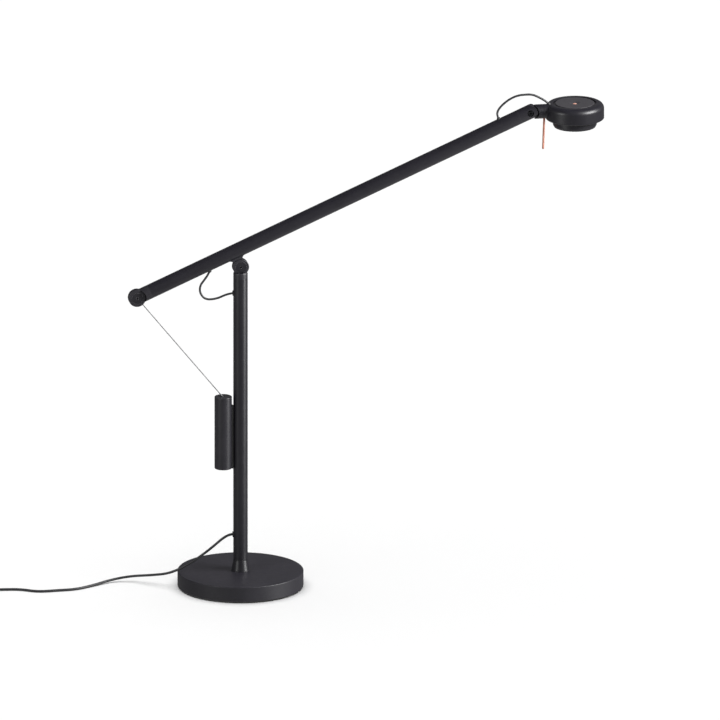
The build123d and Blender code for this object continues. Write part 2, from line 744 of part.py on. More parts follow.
# Lamp head (heights below its top face)
def head_housing():
    """The hollow round body with the socket that turns on the neck."""
    wall_in = head_radius - head_wall
    floor = -head_body + head_wall
    ledge = -cover_thickness - ledge_thickness
    shell = turned((head_mouth_radius, 0), (head_radius, 0), (head_radius, -head_body),
                   (ring_radius + cover_gap, -head_body), (ring_radius + cover_gap, floor), (wall_in, floor),
                   (wall_in, ledge), (ledge_radius, ledge), (ledge_radius, -cover_thickness),
                   (head_mouth_radius, -cover_thickness))
    shell = fillet(rim(shell, "Z", head_radius, 0), head_round)
    shell = fillet(rim(shell, "Z", head_radius, -head_body), head_foot_round)
    shell = puck_frame * shell
    socket = rod_x(neck_radius, neck_length + swivel_seam, head_reach - ledge_radius - 6)
    socket = head_frame * chamfer(rim(socket, "X", neck_radius, neck_length + swivel_seam), 0.3)
    hollow = rod_z(wall_in, floor, ledge) + rod_z(head_mouth_radius, -cover_thickness, 1)
    hollow += rod_z(ledge_radius, ledge - 1, 1)
    part = shell + (socket - puck_frame * hollow)
    part -= head_frame * rod_x(swivel_radius + running_gap, neck_length, swivel_inside() + 3)
    part -= rod_bore(rod_radius + seat_gap)
    return part - head_frame * head_hole * bush_hole(lead_radius)


def rod_bore(radius):
    """A bar on the line of the handle rod."""
    tip = (rod_reach - (rod_bottom - neck_radius) * tan(radians(rod_lean)), 0, -rod_bottom)
    return head_frame * Pos(*tip) * Rot(0, rod_lean, 0) * rod_z(radius, 0, rod_length)


def handle_rod():
    """The thin rod under the neck that turns and tilts the head."""
    part = rod_bore(rod_radius)
    return fillet(part.edges().filter_by(GeomType.CIRCLE).sort_by(Axis.Z)[0], rod_radius - 0.2)


def top_cover():
    """The cover plate, with a sunk rim that leaves a dark groove and a dish for the button."""
    bore = button_radius + button_gap
    rim_radius = head_mouth_radius - cover_gap
    part = turned((bore, -cover_thickness), (rim_radius, -cover_thickness), (rim_radius, -cover_groove_depth),
                  (cover_radius, -cover_groove_depth), (cover_radius, 0), (dish_radius, 0),
                  (bore + 0.4, -dish_depth), (bore, -dish_depth))
    return puck_frame * chamfer(rim(part, "Z", cover_radius, 0), 0.4)


def power_button():
    """The small domed push button, held in from below by a flange."""
    r = button_radius
    edge = -dish_depth - 0.1
    top = edge + button_rise
    low = -cover_thickness - face_gap
    outline = [ThreePointArc((0, top), (r * 0.62, top - button_rise * 0.36), (r, edge)),
               Polyline((r, edge), (r, low), (r + button_flange, low), (r + button_flange, low - 1), (0, low - 1), (0, top))]
    return puck_frame * revolve(Plane.XZ * make_face(Curve() + outline), Axis.Z)


def push_switch():
    base = -heat_sink_top
    part = block(-switch_width / 2, switch_width / 2, -switch_width / 2, switch_width / 2, base, base + switch_height)
    return puck_frame * (part + rod_z(1.5, base, -cover_thickness - 1 - face_gap - button_travel - 0.1))


def heat_sink():
    """The finned plate above the light source."""
    top = -heat_sink_top
    part = rod_z(heat_sink_radius, top - heat_sink_plate, top)
    fin = block(fin_start, heat_sink_radius - 0.5, -fin_thickness / 2, fin_thickness / 2, top - 0.5, top + fin_height)
    for n in range(heat_sink_fins):
        part += Rot(0, 0, (n + 0.5) * 360 / heat_sink_fins) * fin
    return puck_frame * part


def led_board():
    top = -heat_sink_top - heat_sink_plate
    board = rod_z(led_board_radius, top - led_board_thickness, top)
    chip = rod_z(led_chip_radius, top - led_board_thickness - led_chip_thickness, top - led_board_thickness)
    return puck_frame * (board + chip)


def ring_bottom():
    return -head_body - ring_drop


def reflector():
    """The white cone between the light source and the diffuser."""
    top = -heat_sink_top - heat_sink_plate - led_board_thickness - 0.1
    low = ring_bottom() + diffuser_recess + diffuser_thickness + 0.05
    inner, outer = led_chip_radius + 1.5, ring_radius - ring_wall - 0.3
    return puck_frame * turned((inner, top), (inner + reflector_wall, top), (outer, low), (outer - reflector_wall, low))


def light_ring():
    """The round lower ring that carries the diffuser; its sleeve reaches up to the heat sink."""
    seat = -head_body + head_wall + 0.05
    inner = ring_radius - ring_wall
    low = ring_bottom()
    top = -heat_sink_top - heat_sink_plate
    return puck_frame * turned((inner, low), (ring_radius - ring_bevel, low), (ring_radius, low + ring_bevel_height),
                               (ring_radius, seat), (ring_flange_radius, seat),
                               (ring_flange_radius, seat + ring_flange_thickness),
                               (ring_radius, seat + ring_flange_thickness), (ring_radius, top), (inner, top))


def diffuser():
    low = ring_bottom() + diffuser_recess
    return puck_frame * rod_z(ring_radius - ring_wall - 0.1, low, low + diffuser_thickness)


def head_bush():
    """The bush where the lead goes into the top of the neck."""
    return head_frame * head_hole * bush(lead_radius)


# Spare cord, tie and supply
def coil_place(half_turns):
    """A point of the coil after so many half turns, and the way the cord runs there.

    The spiral goes in and out at a steady rate and turns in the middle of each climb.
    """
    cycle = coil_layer_half_turns + 1
    phase = (half_turns + 0.5) % (2 * cycle)
    widest = coil_inner + coil_pitch * (coil_layer_half_turns / 2 + 0.25)
    radius = widest - coil_pitch / 2 * min(phase, 2 * cycle - phase)
    turning = phase in (0, cycle) or half_turns in (0, coil_length_half_turns)
    out = 0 if turning else coil_pitch / (2 * pi) * (-1 if phase < cycle else 1)
    layer = int((half_turns + 1) // cycle)
    climb = min(1.0, (half_turns + 1) % cycle) if layer else 0.0
    height = coil_lift + (coil_pitch * (layer - 1 + (1 - cos(pi * climb)) / 2) if layer else 0)
    up = coil_pitch / 2 * sin(pi * climb)
    angle = pi * (half_turns + 0.5)
    place = Vector(coil_centre[0] + radius * cos(angle), coil_centre[1] + radius * sin(angle), height)
    way = Vector(out * cos(angle) - radius * sin(angle), out * sin(angle) + radius * cos(angle), up)
    return place, way.normalized()


def biarc(start, end):
    """Two arcs that lead smoothly from one place and direction to another."""
    (p, t), (q, s) = start, end
    span, sum_way = q - p, t + s
    k = 2 * (1 - t.dot(s))
    reach = (sqrt(span.dot(sum_way) ** 2 + k * span.dot(span)) - span.dot(sum_way)) / k
    before, after = p + t * reach, q - s * reach
    middle = (before + after) * 0.5
    return [TangentArc(p, middle, tangent=t), TangentArc(middle, q, tangent=after - before)]


def coil_path():
    """The whole coil: half turns where it is flat, quarter turns where it climbs a layer."""
    steps = []
    for n in range(int(coil_length_half_turns) + 1):
        steps.append(n)
        if (n + 1) % (coil_layer_half_turns + 1) == 0:
            steps.append(n + 0.5)
    steps.append(coil_length_half_turns)
    places = [coil_place(h) for h in steps]
    first, last = places[0], places[-1]
    lead_in = first[0] - first[1] * 2 * cord_radius
    lead_out = last[0] + last[1] * 2 * cord_radius
    path = [Line(lead_in, first[0])]
    for a, b in zip(places, places[1:]):
        path += biarc(a, b)
    return path + [Line(last[0], lead_out)]


def least_gap(edges, diameter):
    """The smallest gap between stretches of the coil that aren't next to each other."""
    points, along, gone = [], [], 0.0
    for edge in edges:
        for n in range(14):
            points.append(tuple(edge @ (n / 14)))
            along.append(gone + edge.length * n / 14)
        gone += edge.length
    apart = [dist(p, q) for i, p in enumerate(points) for j, q in enumerate(points[:i]) if along[i] - along[j] > 40]
    return min(apart) - diameter


def spare_cord():
    edges = coil_path()
    print("spare_cord least gap", round(least_gap(edges, 2 * cord_radius), 3))
    return tube_along(Wire(edges), cord_radius)


def coil_top():
    return coil_lift + coil_pitch * 3


def cord_tie():
    """The flat band that holds the coil together on one side."""
    half = tie_width / 2
    widest = coil_inner + coil_pitch * (coil_layer_half_turns / 2 + 0.25) + cord_radius + tie_gap
    within = sqrt((coil_inner - coil_pitch / 4 - cord_radius) ** 2 - half ** 2) - tie_gap
    top = coil_top() + cord_radius + tie_gap
    t = tie_thickness
    band = block(within - t, widest + t, -half, half, 0, top + t)
    band = fillet(band.edges().filter_by(Axis.Y), 1.5)
    hole = block(within, widest, -half - 1, half + 1, t, top)
    band -= fillet(hole.edges().filter_by(Axis.Y), 0.7)
    catch = block(widest + t - 0.1, widest + t + 2.4, -half + 0.4, half - 0.4, coil_top() - 5, coil_top() - 0.5)
    return Pos(*coil_centre) * Rot(0, 0, tie_angle) * (band + catch)


def tail_route():
    """The last bit of cord, from the coil's end on top to the nose of the supply."""
    end, way = coil_place(coil_length_half_turns)
    start = end + way * 2 * cord_radius
    nose = plug_nose()
    return [(start.X, start.Y, start.Z), (start.X, start.Y - 9, start.Z), (start.X + 0.8, start.Y - 20, start.Z - 1.6),
            (nose.X, nose.Y + 9, nose.Z), (nose.X, nose.Y, nose.Z)]


def plug_nose():
    """Where the cord meets the supply's nose."""
    end, way = coil_place(coil_length_half_turns)
    return Vector(end.X + 1.2, end.Y - 2 * cord_radius - plug_gap, plug_height / 2)


def by_supply(part):
    """From a supply that lies along +X with its nose at the origin, to its place by the coil."""
    nose = plug_nose()
    return Pos(nose.X, nose.Y, nose.Z) * Rot(0, 0, -90) * part


def supply_body():
    """The closed case of the plug-in supply, lying on its side on the table."""
    start, w, h = plug_nose_length, plug_width / 2, plug_height / 2
    part = block(start, start + plug_length, -w, w, -h, h)
    part = fillet(part.edges().filter_by(Axis.X), plug_edge)
    part = fillet(part.faces().sort_by(Axis.X)[0].edges(), 2.5)
    part = fillet(part.faces().sort_by(Axis.X)[-1].edges(), 1.5)
    end = start + plug_length
    for side in (-1, 1):
        part -= rod_x(pin_radius + seat_gap, end - 8, end + 1).moved(Location((0, side * pin_spacing / 2, 0)))
    return by_supply(part - rod_x(plug_neck_radius + seat_gap, start - 1, start + 4))


def supply_nose():
    """The tapered strain relief in the end of the supply's case."""
    base, tip, length = plug_nose_radius, cord_radius + 0.9, plug_nose_length
    cone = Rot(0, 90, 0) * turned((0, 0), (tip, 0), (base, length - 1.5), (base, length - 0.05), (0, length - 0.05))
    for n in range(3):
        ring = rod_x(base + 1, 2.4 + 2.8 * n, 3.5 + 2.8 * n) - rod_x(cord_radius + 0.35, 0, length)
        cone -= ring
    return by_supply(cone + rod_x(plug_neck_radius, length - 0.1, length + 3.9))


def supply_pin(side):
    """One round pin of the supply, with a rounded tip."""
    end = plug_nose_length + plug_length
    pin = rod_x(pin_radius, end - 8, end + pin_length)
    pin = fillet(rim(pin, "X", pin_radius, end + pin_length), pin_radius - 0.4)
    return by_supply(Pos(0, side * pin_spacing / 2, 0) * pin)


# Every piece under its name
parts = {
    "base_plate": base_plate,
    "base_pad": base_pad,
    "base_spindle": base_spindle,
    "base_bolt": base_bolt,
    "foot_collar": foot_collar,
    "swivel_washer": swivel_washer,
    "spindle_clip": spindle_clip,
    "post_tube": post_tube,
    "post_foot_bush": post_foot_bush,
    "cord_grommet": lambda: rear_grommet(cord_exit_height, cord_radius),
    "post_loop_grommet": lambda: rear_grommet(post_loop_height, lead_radius),
    "post_knuckle": post_knuckle,
    "pivot_screw": lambda: disc_screw(knuckle_width, pivot_screw_radius, z=pivot_height),
    "pivot_nut": lambda: disc_nut(knuckle_width, pivot_screw_radius, z=pivot_height),
    "post_inner_lead": post_inner_lead,
    "arm_tube": arm_tube,
    "arm_lug": arm_lug,
    "pivot_washers": pivot_washers,
    "rear_fitting": rear_fitting,
    "rear_drum": rear_drum,
    "drum_screw": lambda: on_drum(disc_screw(drum_width, rear_screw_radius)),
    "drum_nut": lambda: on_drum(disc_nut(drum_width, rear_screw_radius)),
    "front_fork": front_fork,
    "head_screw": head_screw,
    "head_nut": head_nut,
    "arm_bushes": arm_bushes,
    "arm_inner_lead": arm_inner_lead,
    "counterweight": counterweight,
    "guide_shoe": guide_shoe,
    "shoe_screws": shoe_screws,
    "wire_pin": wire_pin,
    "balance_wire": balance_wire,
    "wire_sleeve": wire_sleeve,
    "wire_eye": wire_eye,
    "neck_knuckle": neck_knuckle,
    "head_washers": head_washers,
    "swivel_spindle": swivel_spindle,
    "swivel_nut": swivel_nut,
    "head_housing": head_housing,
    "handle_rod": handle_rod,
    "top_cover": top_cover,
    "power_button": power_button,
    "push_switch": push_switch,
    "heat_sink": heat_sink,
    "led_board": led_board,
    "reflector": reflector,
    "light_ring": light_ring,
    "diffuser": diffuser,
    "head_bush": head_bush,
    "post_loop": lambda: lead(post_loop_route, lead_radius, "post_loop", (0, 0, pivot_height)),
    "head_loop_rear": lambda: lead(head_loop_rear_route, lead_radius, "head_loop_rear", head_at),
    "head_loop_front": lambda: lead(head_loop_front_route, lead_radius, "head_loop_front", head_at),
    "low_voltage_cord": lambda: lead(cord_route, cord_radius, "low_voltage_cord"),
    "spare_cord": spare_cord,
    "cord_tie": cord_tie,
    "cord_tail": lambda: lead(tail_route(), cord_radius, "cord_tail"),
    "supply_body": supply_body,
    "supply_nose": supply_nose,
    "supply_pins": lambda: Compound(children=[supply_pin(-1), supply_pin(1)]),
}

os.makedirs("parts", exist_ok=True)
for name, make in parts.items():
    solid = make()
    print(name, round(solid.volume, 1))
    export_step(solid, f"parts/{name}.step")
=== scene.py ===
import bpy, bmesh, json
from math import cos, pi, radians, sin
from mathutils import Matrix, Vector


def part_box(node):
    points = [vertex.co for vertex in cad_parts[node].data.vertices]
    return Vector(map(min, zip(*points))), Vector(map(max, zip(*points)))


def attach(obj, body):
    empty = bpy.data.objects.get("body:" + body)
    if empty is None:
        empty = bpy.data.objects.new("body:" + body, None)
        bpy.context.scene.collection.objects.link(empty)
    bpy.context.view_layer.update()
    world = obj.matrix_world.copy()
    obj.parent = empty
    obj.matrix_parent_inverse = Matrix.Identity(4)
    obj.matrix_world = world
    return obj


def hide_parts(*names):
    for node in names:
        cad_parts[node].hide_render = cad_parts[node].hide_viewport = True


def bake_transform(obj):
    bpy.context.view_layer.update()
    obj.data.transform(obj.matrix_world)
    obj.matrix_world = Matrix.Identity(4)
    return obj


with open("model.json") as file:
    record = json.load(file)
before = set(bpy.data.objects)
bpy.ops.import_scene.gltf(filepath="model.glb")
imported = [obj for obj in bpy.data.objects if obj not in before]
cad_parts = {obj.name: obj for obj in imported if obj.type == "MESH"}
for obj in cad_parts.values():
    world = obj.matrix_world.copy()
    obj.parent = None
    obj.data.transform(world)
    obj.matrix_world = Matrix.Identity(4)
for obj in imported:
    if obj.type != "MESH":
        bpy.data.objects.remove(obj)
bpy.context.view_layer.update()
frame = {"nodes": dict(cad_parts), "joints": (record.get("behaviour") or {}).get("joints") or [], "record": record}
nodes = frame["nodes"]
mm = 0.001
print("frame loaded:", len(nodes), "solids")

# where the joints are, read from the model
jointAt = {j["name"]: Vector(j["pos_m"]) for j in frame["joints"] if "pos_m" in j}
pivot = jointAt["arm_tilt"]
headJoint = jointAt["head_tilt"]
creaseAngle = {"solids": 30, "leads": 50}


def smoothFaces(mesh, kind):
    mesh.shade_smooth()
    mesh.set_sharp_from_angle(angle=radians(creaseAngle[kind]))


def meshFrom(bm, name):
    mesh = bpy.data.meshes.new(name)
    bm.to_mesh(mesh)
    bm.free()
    return mesh


def showInScene(obj):
    bpy.context.scene.collection.objects.link(obj)


def newMaterial(name):
    material = bpy.data.materials.new(name)
    material.use_nodes = True
    tree = material.node_tree
    return material, tree, tree.nodes["Principled BSDF"]


def addNode(tree, kind, **settings):
    node = tree.nodes.new(kind)
    for key, value in settings.items():
        if key in node.inputs:
            node.inputs[key].default_value = value
        else:
            setattr(node, key, value)
    return node


def objectPlace(tree):
    return addNode(tree, "ShaderNodeTexCoord").outputs["Object"]


def grain(tree, place, scale, detail, roughness=0.55):
    noise = addNode(tree, "ShaderNodeTexNoise", Scale=scale, Detail=detail, Roughness=roughness)
    tree.links.new(place, noise.inputs["Vector"])
    return noise.outputs["Fac"]


def ramp(tree, factor, low, high, start=0.3, end=0.7):
    scale = addNode(tree, "ShaderNodeMapRange")
    for key, value in (("From Min", start), ("From Max", end), ("To Min", low), ("To Max", high)):
        scale.inputs[key].default_value = value
    tree.links.new(factor, scale.inputs["Value"])
    return scale.outputs["Result"]


def tint(tree, factor, dark, light):
    mix = addNode(tree, "ShaderNodeMix", data_type="RGBA")
    mix.inputs["A"].default_value = (*dark, 1)
    mix.inputs["B"].default_value = (*light, 1)
    tree.links.new(factor, mix.inputs["Factor"])
    return mix.outputs["Result"]


def bump(tree, shader, height, distance, strength, under=None):
    node = addNode(tree, "ShaderNodeBump", Strength=strength, Distance=distance)
    tree.links.new(height, node.inputs["Height"])
    if under:
        tree.links.new(under, node.inputs["Normal"])
    tree.links.new(node.outputs["Normal"], shader.inputs["Normal"])
    return node.outputs["Normal"]


# settings of the edge mask that lightens edges: rubbed wear on the coats, a painted highlight on the screws
edgeWearAndHighlight = {"reach": 0.5 * mm, "samples": 6, "turned": 0.86, "flat": 0.995}


def edgeWear(tree):
    # how far the surface turns within a small radius: high along edges, which get a lighter colour: rubbed wear on
    # the coats, and on the screws a painted highlight
    bevel = addNode(tree, "ShaderNodeBevel", samples=edgeWearAndHighlight["samples"], Radius=edgeWearAndHighlight["reach"])
    flat = addNode(tree, "ShaderNodeNewGeometry")
    dot = addNode(tree, "ShaderNodeVectorMath", operation="DOT_PRODUCT")
    tree.links.new(bevel.outputs["Normal"], dot.inputs[0])
    tree.links.new(flat.outputs["Normal"], dot.inputs[1])
    return ramp(tree, dot.outputs["Value"], 1, 0, edgeWearAndHighlight["turned"], edgeWearAndHighlight["flat"])


coat = {"blotch": 38, "handled": 120, "peelShare": 0.28, "peelStrength": 0.35, "fineStrength": 0.5}
finishes = {
    "blackCoat": {
        "dark": (0.0092, 0.0085, 0.0118), "light": (0.0122, 0.0113, 0.0152),
        "edge": (0.018, 0.017, 0.021), "rough": (0.44, 0.50), "grain": 3200, "depth": 0.02 * mm,
    },
    "blackAnodised": {
        "dark": (0.0064, 0.0058, 0.0086), "light": (0.0084, 0.0077, 0.0112),
        "edge": (0.026, 0.025, 0.030), "rough": (0.36, 0.42), "grain": 5200, "depth": 0.012 * mm,
    },
    "coverCoat": {
        "dark": (0.0220, 0.0207, 0.0240), "light": (0.0285, 0.0267, 0.0305),
        "edge": (0.060, 0.057, 0.062), "rough": (0.42, 0.50), "grain": 4200, "depth": 0.02 * mm,
    },
    "weightCoat": {
        "dark": (0.0095, 0.0089, 0.0118), "light": (0.0130, 0.0122, 0.0158),
        "edge": (0.036, 0.034, 0.040), "rough": (0.36, 0.43), "grain": 2600, "depth": 0.02 * mm,
    },
    "collarCoat": {
        "dark": (0.0050, 0.0046, 0.0066), "light": (0.0072, 0.0067, 0.0090),
        "edge": (0.016, 0.015, 0.018), "rough": (0.34, 0.40), "grain": 5200, "depth": 0.005 * mm,
    },
    # the screws' light edge colour is a painted highlight on their rims and chamfers
    "screwCoat": {
        "dark": (0.0080, 0.0075, 0.0100), "light": (0.0115, 0.0108, 0.0135),
        "edge": (0.15, 0.145, 0.155), "rough": (0.30, 0.38), "grain": 6000, "depth": 0.010 * mm,
    },
}


def coatFinish(name):
    # a satin coat: fine orange peel, uneven sheen, edges a little lighter: rubbed wear, and on the screws a bright
    # painted highlight along their rims
    look = finishes[name]
    material, tree, shader = newMaterial(name)
    place = objectPlace(tree)
    blotch = ramp(tree, grain(tree, place, coat["blotch"], detail=4), 0, 1)
    fine = grain(tree, place, look["grain"], detail=2, roughness=0.6)
    colour = tint(tree, blotch, look["dark"], look["light"])
    # lighter colour along edges: rubbed wear on the coats, a painted highlight on the screws
    edge = addNode(tree, "ShaderNodeMix", data_type="RGBA")
    edge.inputs["B"].default_value = (*look["edge"], 1)
    tree.links.new(edgeWear(tree), edge.inputs["Factor"])
    tree.links.new(colour, edge.inputs["A"])
    tree.links.new(edge.outputs["Result"], shader.inputs["Base Color"])
    handled = grain(tree, place, coat["handled"], detail=5, roughness=0.7)
    tree.links.new(ramp(tree, handled, *look["rough"]), shader.inputs["Roughness"])
    peel = grain(tree, place, look["grain"] * coat["peelShare"], detail=1, roughness=0.4)
    low = bump(tree, shader, peel, look["depth"], coat["peelStrength"])
    bump(tree, shader, fine, look["depth"], coat["fineStrength"], low)
    return material


metals = {
    "turnedSteel": {
        "dark": (0.42, 0.42, 0.43), "light": (0.62, 0.62, 0.63),
        "rough": (0.22, 0.36), "metallic": 1.0,
    },
    "darkSteel": {
        "dark": (0.022, 0.022, 0.025), "light": (0.05, 0.05, 0.055),
        "rough": (0.28, 0.42), "metallic": 1.0,
    },
    "copper": {
        "dark": (0.54, 0.27, 0.20), "light": (0.70, 0.39, 0.31),
        "rough": (0.30, 0.42), "metallic": 0.5,
    },
    "copperRod": {
        "dark": (0.34, 0.14, 0.095), "light": (0.47, 0.215, 0.155),
        "rough": (0.34, 0.46), "metallic": 0.5,
    },
    "castAluminium": {
        "dark": (0.50, 0.50, 0.51), "light": (0.66, 0.66, 0.67),
        "rough": (0.40, 0.55), "metallic": 1.0,
    },
    "wireSteel": {
        "dark": (0.11, 0.11, 0.113), "light": (0.20, 0.20, 0.205),
        "rough": (0.40, 0.52), "metallic": 0.7,
    },
}
metalSkin = {"stain": 160, "grain": 2400, "depth": 0.006 * mm, "strength": 0.5}


def metalFinish(name):
    # bare or plated metal, a little stained, with a very fine grain
    look = metals[name]
    material, tree, shader = newMaterial(name)
    place = objectPlace(tree)
    stain = ramp(tree, grain(tree, place, metalSkin["stain"], detail=4), 0, 1)
    tree.links.new(tint(tree, stain, look["dark"], look["light"]), shader.inputs["Base Color"])
    fine = grain(tree, place, metalSkin["grain"], detail=2, roughness=0.5)
    tree.links.new(ramp(tree, fine, *look["rough"]), shader.inputs["Roughness"])
    bump(tree, shader, fine, metalSkin["depth"], metalSkin["strength"])
    shader.inputs["Metallic"].default_value = look["metallic"]
    return material


plastics = {
    "cordSheath": {
        "dark": (0.010, 0.010, 0.0115), "light": (0.019, 0.019, 0.021),
        "rough": (0.42, 0.56), "grain": 1500, "depth": 0.03 * mm,
    },
    "mouldedBlack": {
        "dark": (0.011, 0.011, 0.012), "light": (0.018, 0.018, 0.019),
        "rough": (0.48, 0.62), "grain": 2200, "depth": 0.03 * mm,
    },
    "padRubber": {
        "dark": (0.010, 0.010, 0.010), "light": (0.022, 0.022, 0.022),
        "rough": (0.7, 0.85), "grain": 1800, "depth": 0.05 * mm,
    },
    "paleNylon": {
        "dark": (0.60, 0.59, 0.55), "light": (0.72, 0.71, 0.67),
        "rough": (0.45, 0.6), "grain": 1500, "depth": 0.02 * mm,
    },
    "whiteEnamel": {
        "dark": (0.74, 0.74, 0.73), "light": (0.82, 0.82, 0.81),
        "rough": (0.5, 0.62), "grain": 1800, "depth": 0.01 * mm,
    },
    "boardWhite": {
        "dark": (0.70, 0.70, 0.66), "light": (0.80, 0.80, 0.76),
        "rough": (0.35, 0.5), "grain": 900, "depth": 0.02 * mm,
    },
}
plasticSkin = {"cloud": 60, "sheen": 240, "strength": 0.5}


def plasticFinish(name):
    look = plastics[name]
    material, tree, shader = newMaterial(name)
    place = objectPlace(tree)
    cloud = ramp(tree, grain(tree, place, plasticSkin["cloud"], detail=4), 0, 1)
    tree.links.new(tint(tree, cloud, look["dark"], look["light"]), shader.inputs["Base Color"])
    sheen = grain(tree, place, plasticSkin["sheen"], detail=3)
    tree.links.new(ramp(tree, sheen, *look["rough"]), shader.inputs["Roughness"])
    fine = grain(tree, place, look["grain"], detail=2)
    bump(tree, shader, fine, look["depth"], plasticSkin["strength"])
    return material


frost = {
    "dark": (0.60, 0.60, 0.59), "light": (0.68, 0.68, 0.67), "cloud": 45, "rough": 0.5,
    "grain": 3800, "depth": 0.015 * mm, "strength": 0.6,
    "milk": 0.35, "milkDepth": 2 * mm, "clear": 0.15,
}


def frostedFinish():
    # the opal cover over the light source
    material, tree, shader = newMaterial("frostedCover")
    place = objectPlace(tree)
    cloud = ramp(tree, grain(tree, place, frost["cloud"], detail=3), 0, 1)
    tree.links.new(tint(tree, cloud, frost["dark"], frost["light"]), shader.inputs["Base Color"])
    bump(tree, shader, grain(tree, place, frost["grain"], detail=2), frost["depth"], frost["strength"])
    shader.inputs["Roughness"].default_value = frost["rough"]
    shader.inputs["Subsurface Weight"].default_value = frost["milk"]
    shader.inputs["Subsurface Scale"].default_value = frost["milkDepth"]
    shader.inputs["Transmission Weight"].default_value = frost["clear"]
    return material


looks = {name: coatFinish(name) for name in finishes}
looks |= {name: metalFinish(name) for name in metals}
looks |= {name: plasticFinish(name) for name in plastics}
looks["frostedCover"] = frostedFinish()
print("materials made:", len(bpy.data.materials))

# every solid gets its finish, also those that a finer piece replaces below
slotFinish = {
    "black_steel": "blackCoat", "black_aluminium": "blackAnodised", "grey_weight": "weightCoat",
    "bright_steel": "turnedSteel", "copper_finish": "copper", "dark_screw": "darkSteel",
    "black_plastic": "mouldedBlack", "pale_plastic": "paleNylon", "white_plastic": "whiteEnamel",
    "diffuser_plastic": "frostedCover", "bare_aluminium": "castAluminium", "board": "boardWhite",
    "rubber_pad": "padRubber", "cord_sheath": "cordSheath",
}
ownFinish = {
    "top_cover": "coverCoat", "handle_rod": "copperRod", "foot_collar": "collarCoat",
    "balance_wire": "wireSteel", "wire_sleeve": "wireSteel", "wire_eye": "wireSteel",
    "pivot_screw": "screwCoat", "pivot_nut": "screwCoat",
    "drum_screw": "screwCoat", "drum_nut": "screwCoat",
}
nodeSlot = {s["node"]: s["material_slot"] for s in frame["record"]["subparts"]}
for name, obj in nodes.items():
    obj.data.materials.clear()
    obj.data.materials.append(looks[ownFinish.get(name, slotFinish[nodeSlot[name]])])
    smoothFaces(obj.data, "solids")
print("solids dressed")


photo = {"azimuth": -9.0, "elevation": 16.4, "metresPerPixel": 1.38 * mm, "size": 720,
         "axisColumn": 240.5, "footRow": 585.8, "distance": 4.0}


def aimCamera():
    # the photograph is all but parallel, so the camera is too
    azimuth, elevation = radians(photo["azimuth"]), radians(photo["elevation"])
    ahead = Vector((-sin(azimuth) * cos(elevation), cos(azimuth) * cos(elevation), -sin(elevation)))
    right = Vector((cos(azimuth), sin(azimuth), 0))
    up = right.cross(ahead)
    half = photo["size"] / 2
    across = (half - photo["axisColumn"]) * photo["metresPerPixel"]
    above = (photo["footRow"] - half) * photo["metresPerPixel"]
    data = bpy.data.cameras.new("photoCamera")
    data.type = "ORTHO"
    data.ortho_scale = photo["size"] * photo["metresPerPixel"]
    camera = bpy.data.objects.new("photoCamera", data)
    camera.rotation_euler = Matrix((right, up, -ahead)).transposed().to_euler()
    camera.location = right * across + up * above - ahead * photo["distance"]
    showInScene(camera)
    bpy.context.scene.camera = camera


aimCamera()
print("camera aimed")


mainsCord = {
    "diameter": 3.5 * mm,
    "length": 1.80,
    # the same points that the cord's solid bends towards
    "route": [(-10.5, 0, 74.8), (-18.8, 0, 74.8), (-41.0, 0.5, 55.6), (-66.0, 1.5, 37.3),
              (-96.0, 6.0, 20.6), (-121.0, 27.0, 13.0), (-147.0, 46.0, 7.4), (-174.0, 46.0, 3.2),
              (-203.0, 27.0, 1.9), (-228.0, 13.0, 1.8), (-256.0, 11.5, 1.85), (-282.0, 9.5, 1.8),
              (-304.0, 25.5, 1.85), (-330.0, 28.0, 1.8), (-352.0, 28.0, 2.85), (-370.5, 28.0, 2.85)],
    "coilCentre": (-374.0, 4.1), "coilInner": 14.0, "coilPitch": 3.95, "coilLift": 2.85,
    "coilLayers": 4, "layerHalfTurns": 5, "coilHalfTurns": 22.5, "pointsPerTurn": 16,
    # from the coil's end, and straight out of the supply
    "tail": [(0, 0, 0), (0, -9, 0), (0.8, -20, -1.6)], "supplyRun": 9,
}


def coilWidest():
    # the radius at which the spiral turns back
    c = mainsCord
    return c["coilInner"] + c["coilPitch"] * (c["layerHalfTurns"] / 2 + 0.25)


def coilPlace(halfTurns):
    # the spiral goes in and out at a steady rate and turns in the middle of each climb
    c = mainsCord
    cycle = c["layerHalfTurns"] + 1
    phase = (halfTurns + 0.5) % (2 * cycle)
    radius = coilWidest() - c["coilPitch"] / 2 * min(phase, 2 * cycle - phase)
    layer = int((halfTurns + 1) // cycle)
    climb = min(1.0, (halfTurns + 1) % cycle) if layer else 0.0
    height = c["coilLift"] + (c["coilPitch"] * (layer - 1 + (1 - cos(pi * climb)) / 2) if layer else 0)
    radius /= cos(pi / c["pointsPerTurn"])  # the spline runs inside its points
    angle = pi * (halfTurns + 0.5)
    return (c["coilCentre"][0] + radius * cos(angle), c["coilCentre"][1] + radius * sin(angle), height)


def cordPoints():
    c = mainsCord
    perHalf = c["pointsPerTurn"] / 2
    turns = [coilPlace((n + 0.5) / perHalf) for n in range(int(c["coilHalfTurns"] * perHalf))]
    endX = c["coilCentre"][0] - (coilWidest() - c["coilPitch"] / 2)
    endY = c["coilCentre"][1] - c["diameter"] / mm
    endZ = c["coilLift"] + (c["coilLayers"] - 1) * c["coilPitch"]
    tail = [(endX + x, endY + y, endZ + z) for x, y, z in c["tail"]]
    low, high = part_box("supply_nose")
    nose = ((low.x + high.x) / 2 / mm, high.y / mm, (low.z + high.z) / 2 / mm)
    return c["route"] + turns + tail + [(nose[0], nose[1] + c["supplyRun"], nose[2]), nose]


curveLook = {"order": 3, "steps": 8, "around": 5}


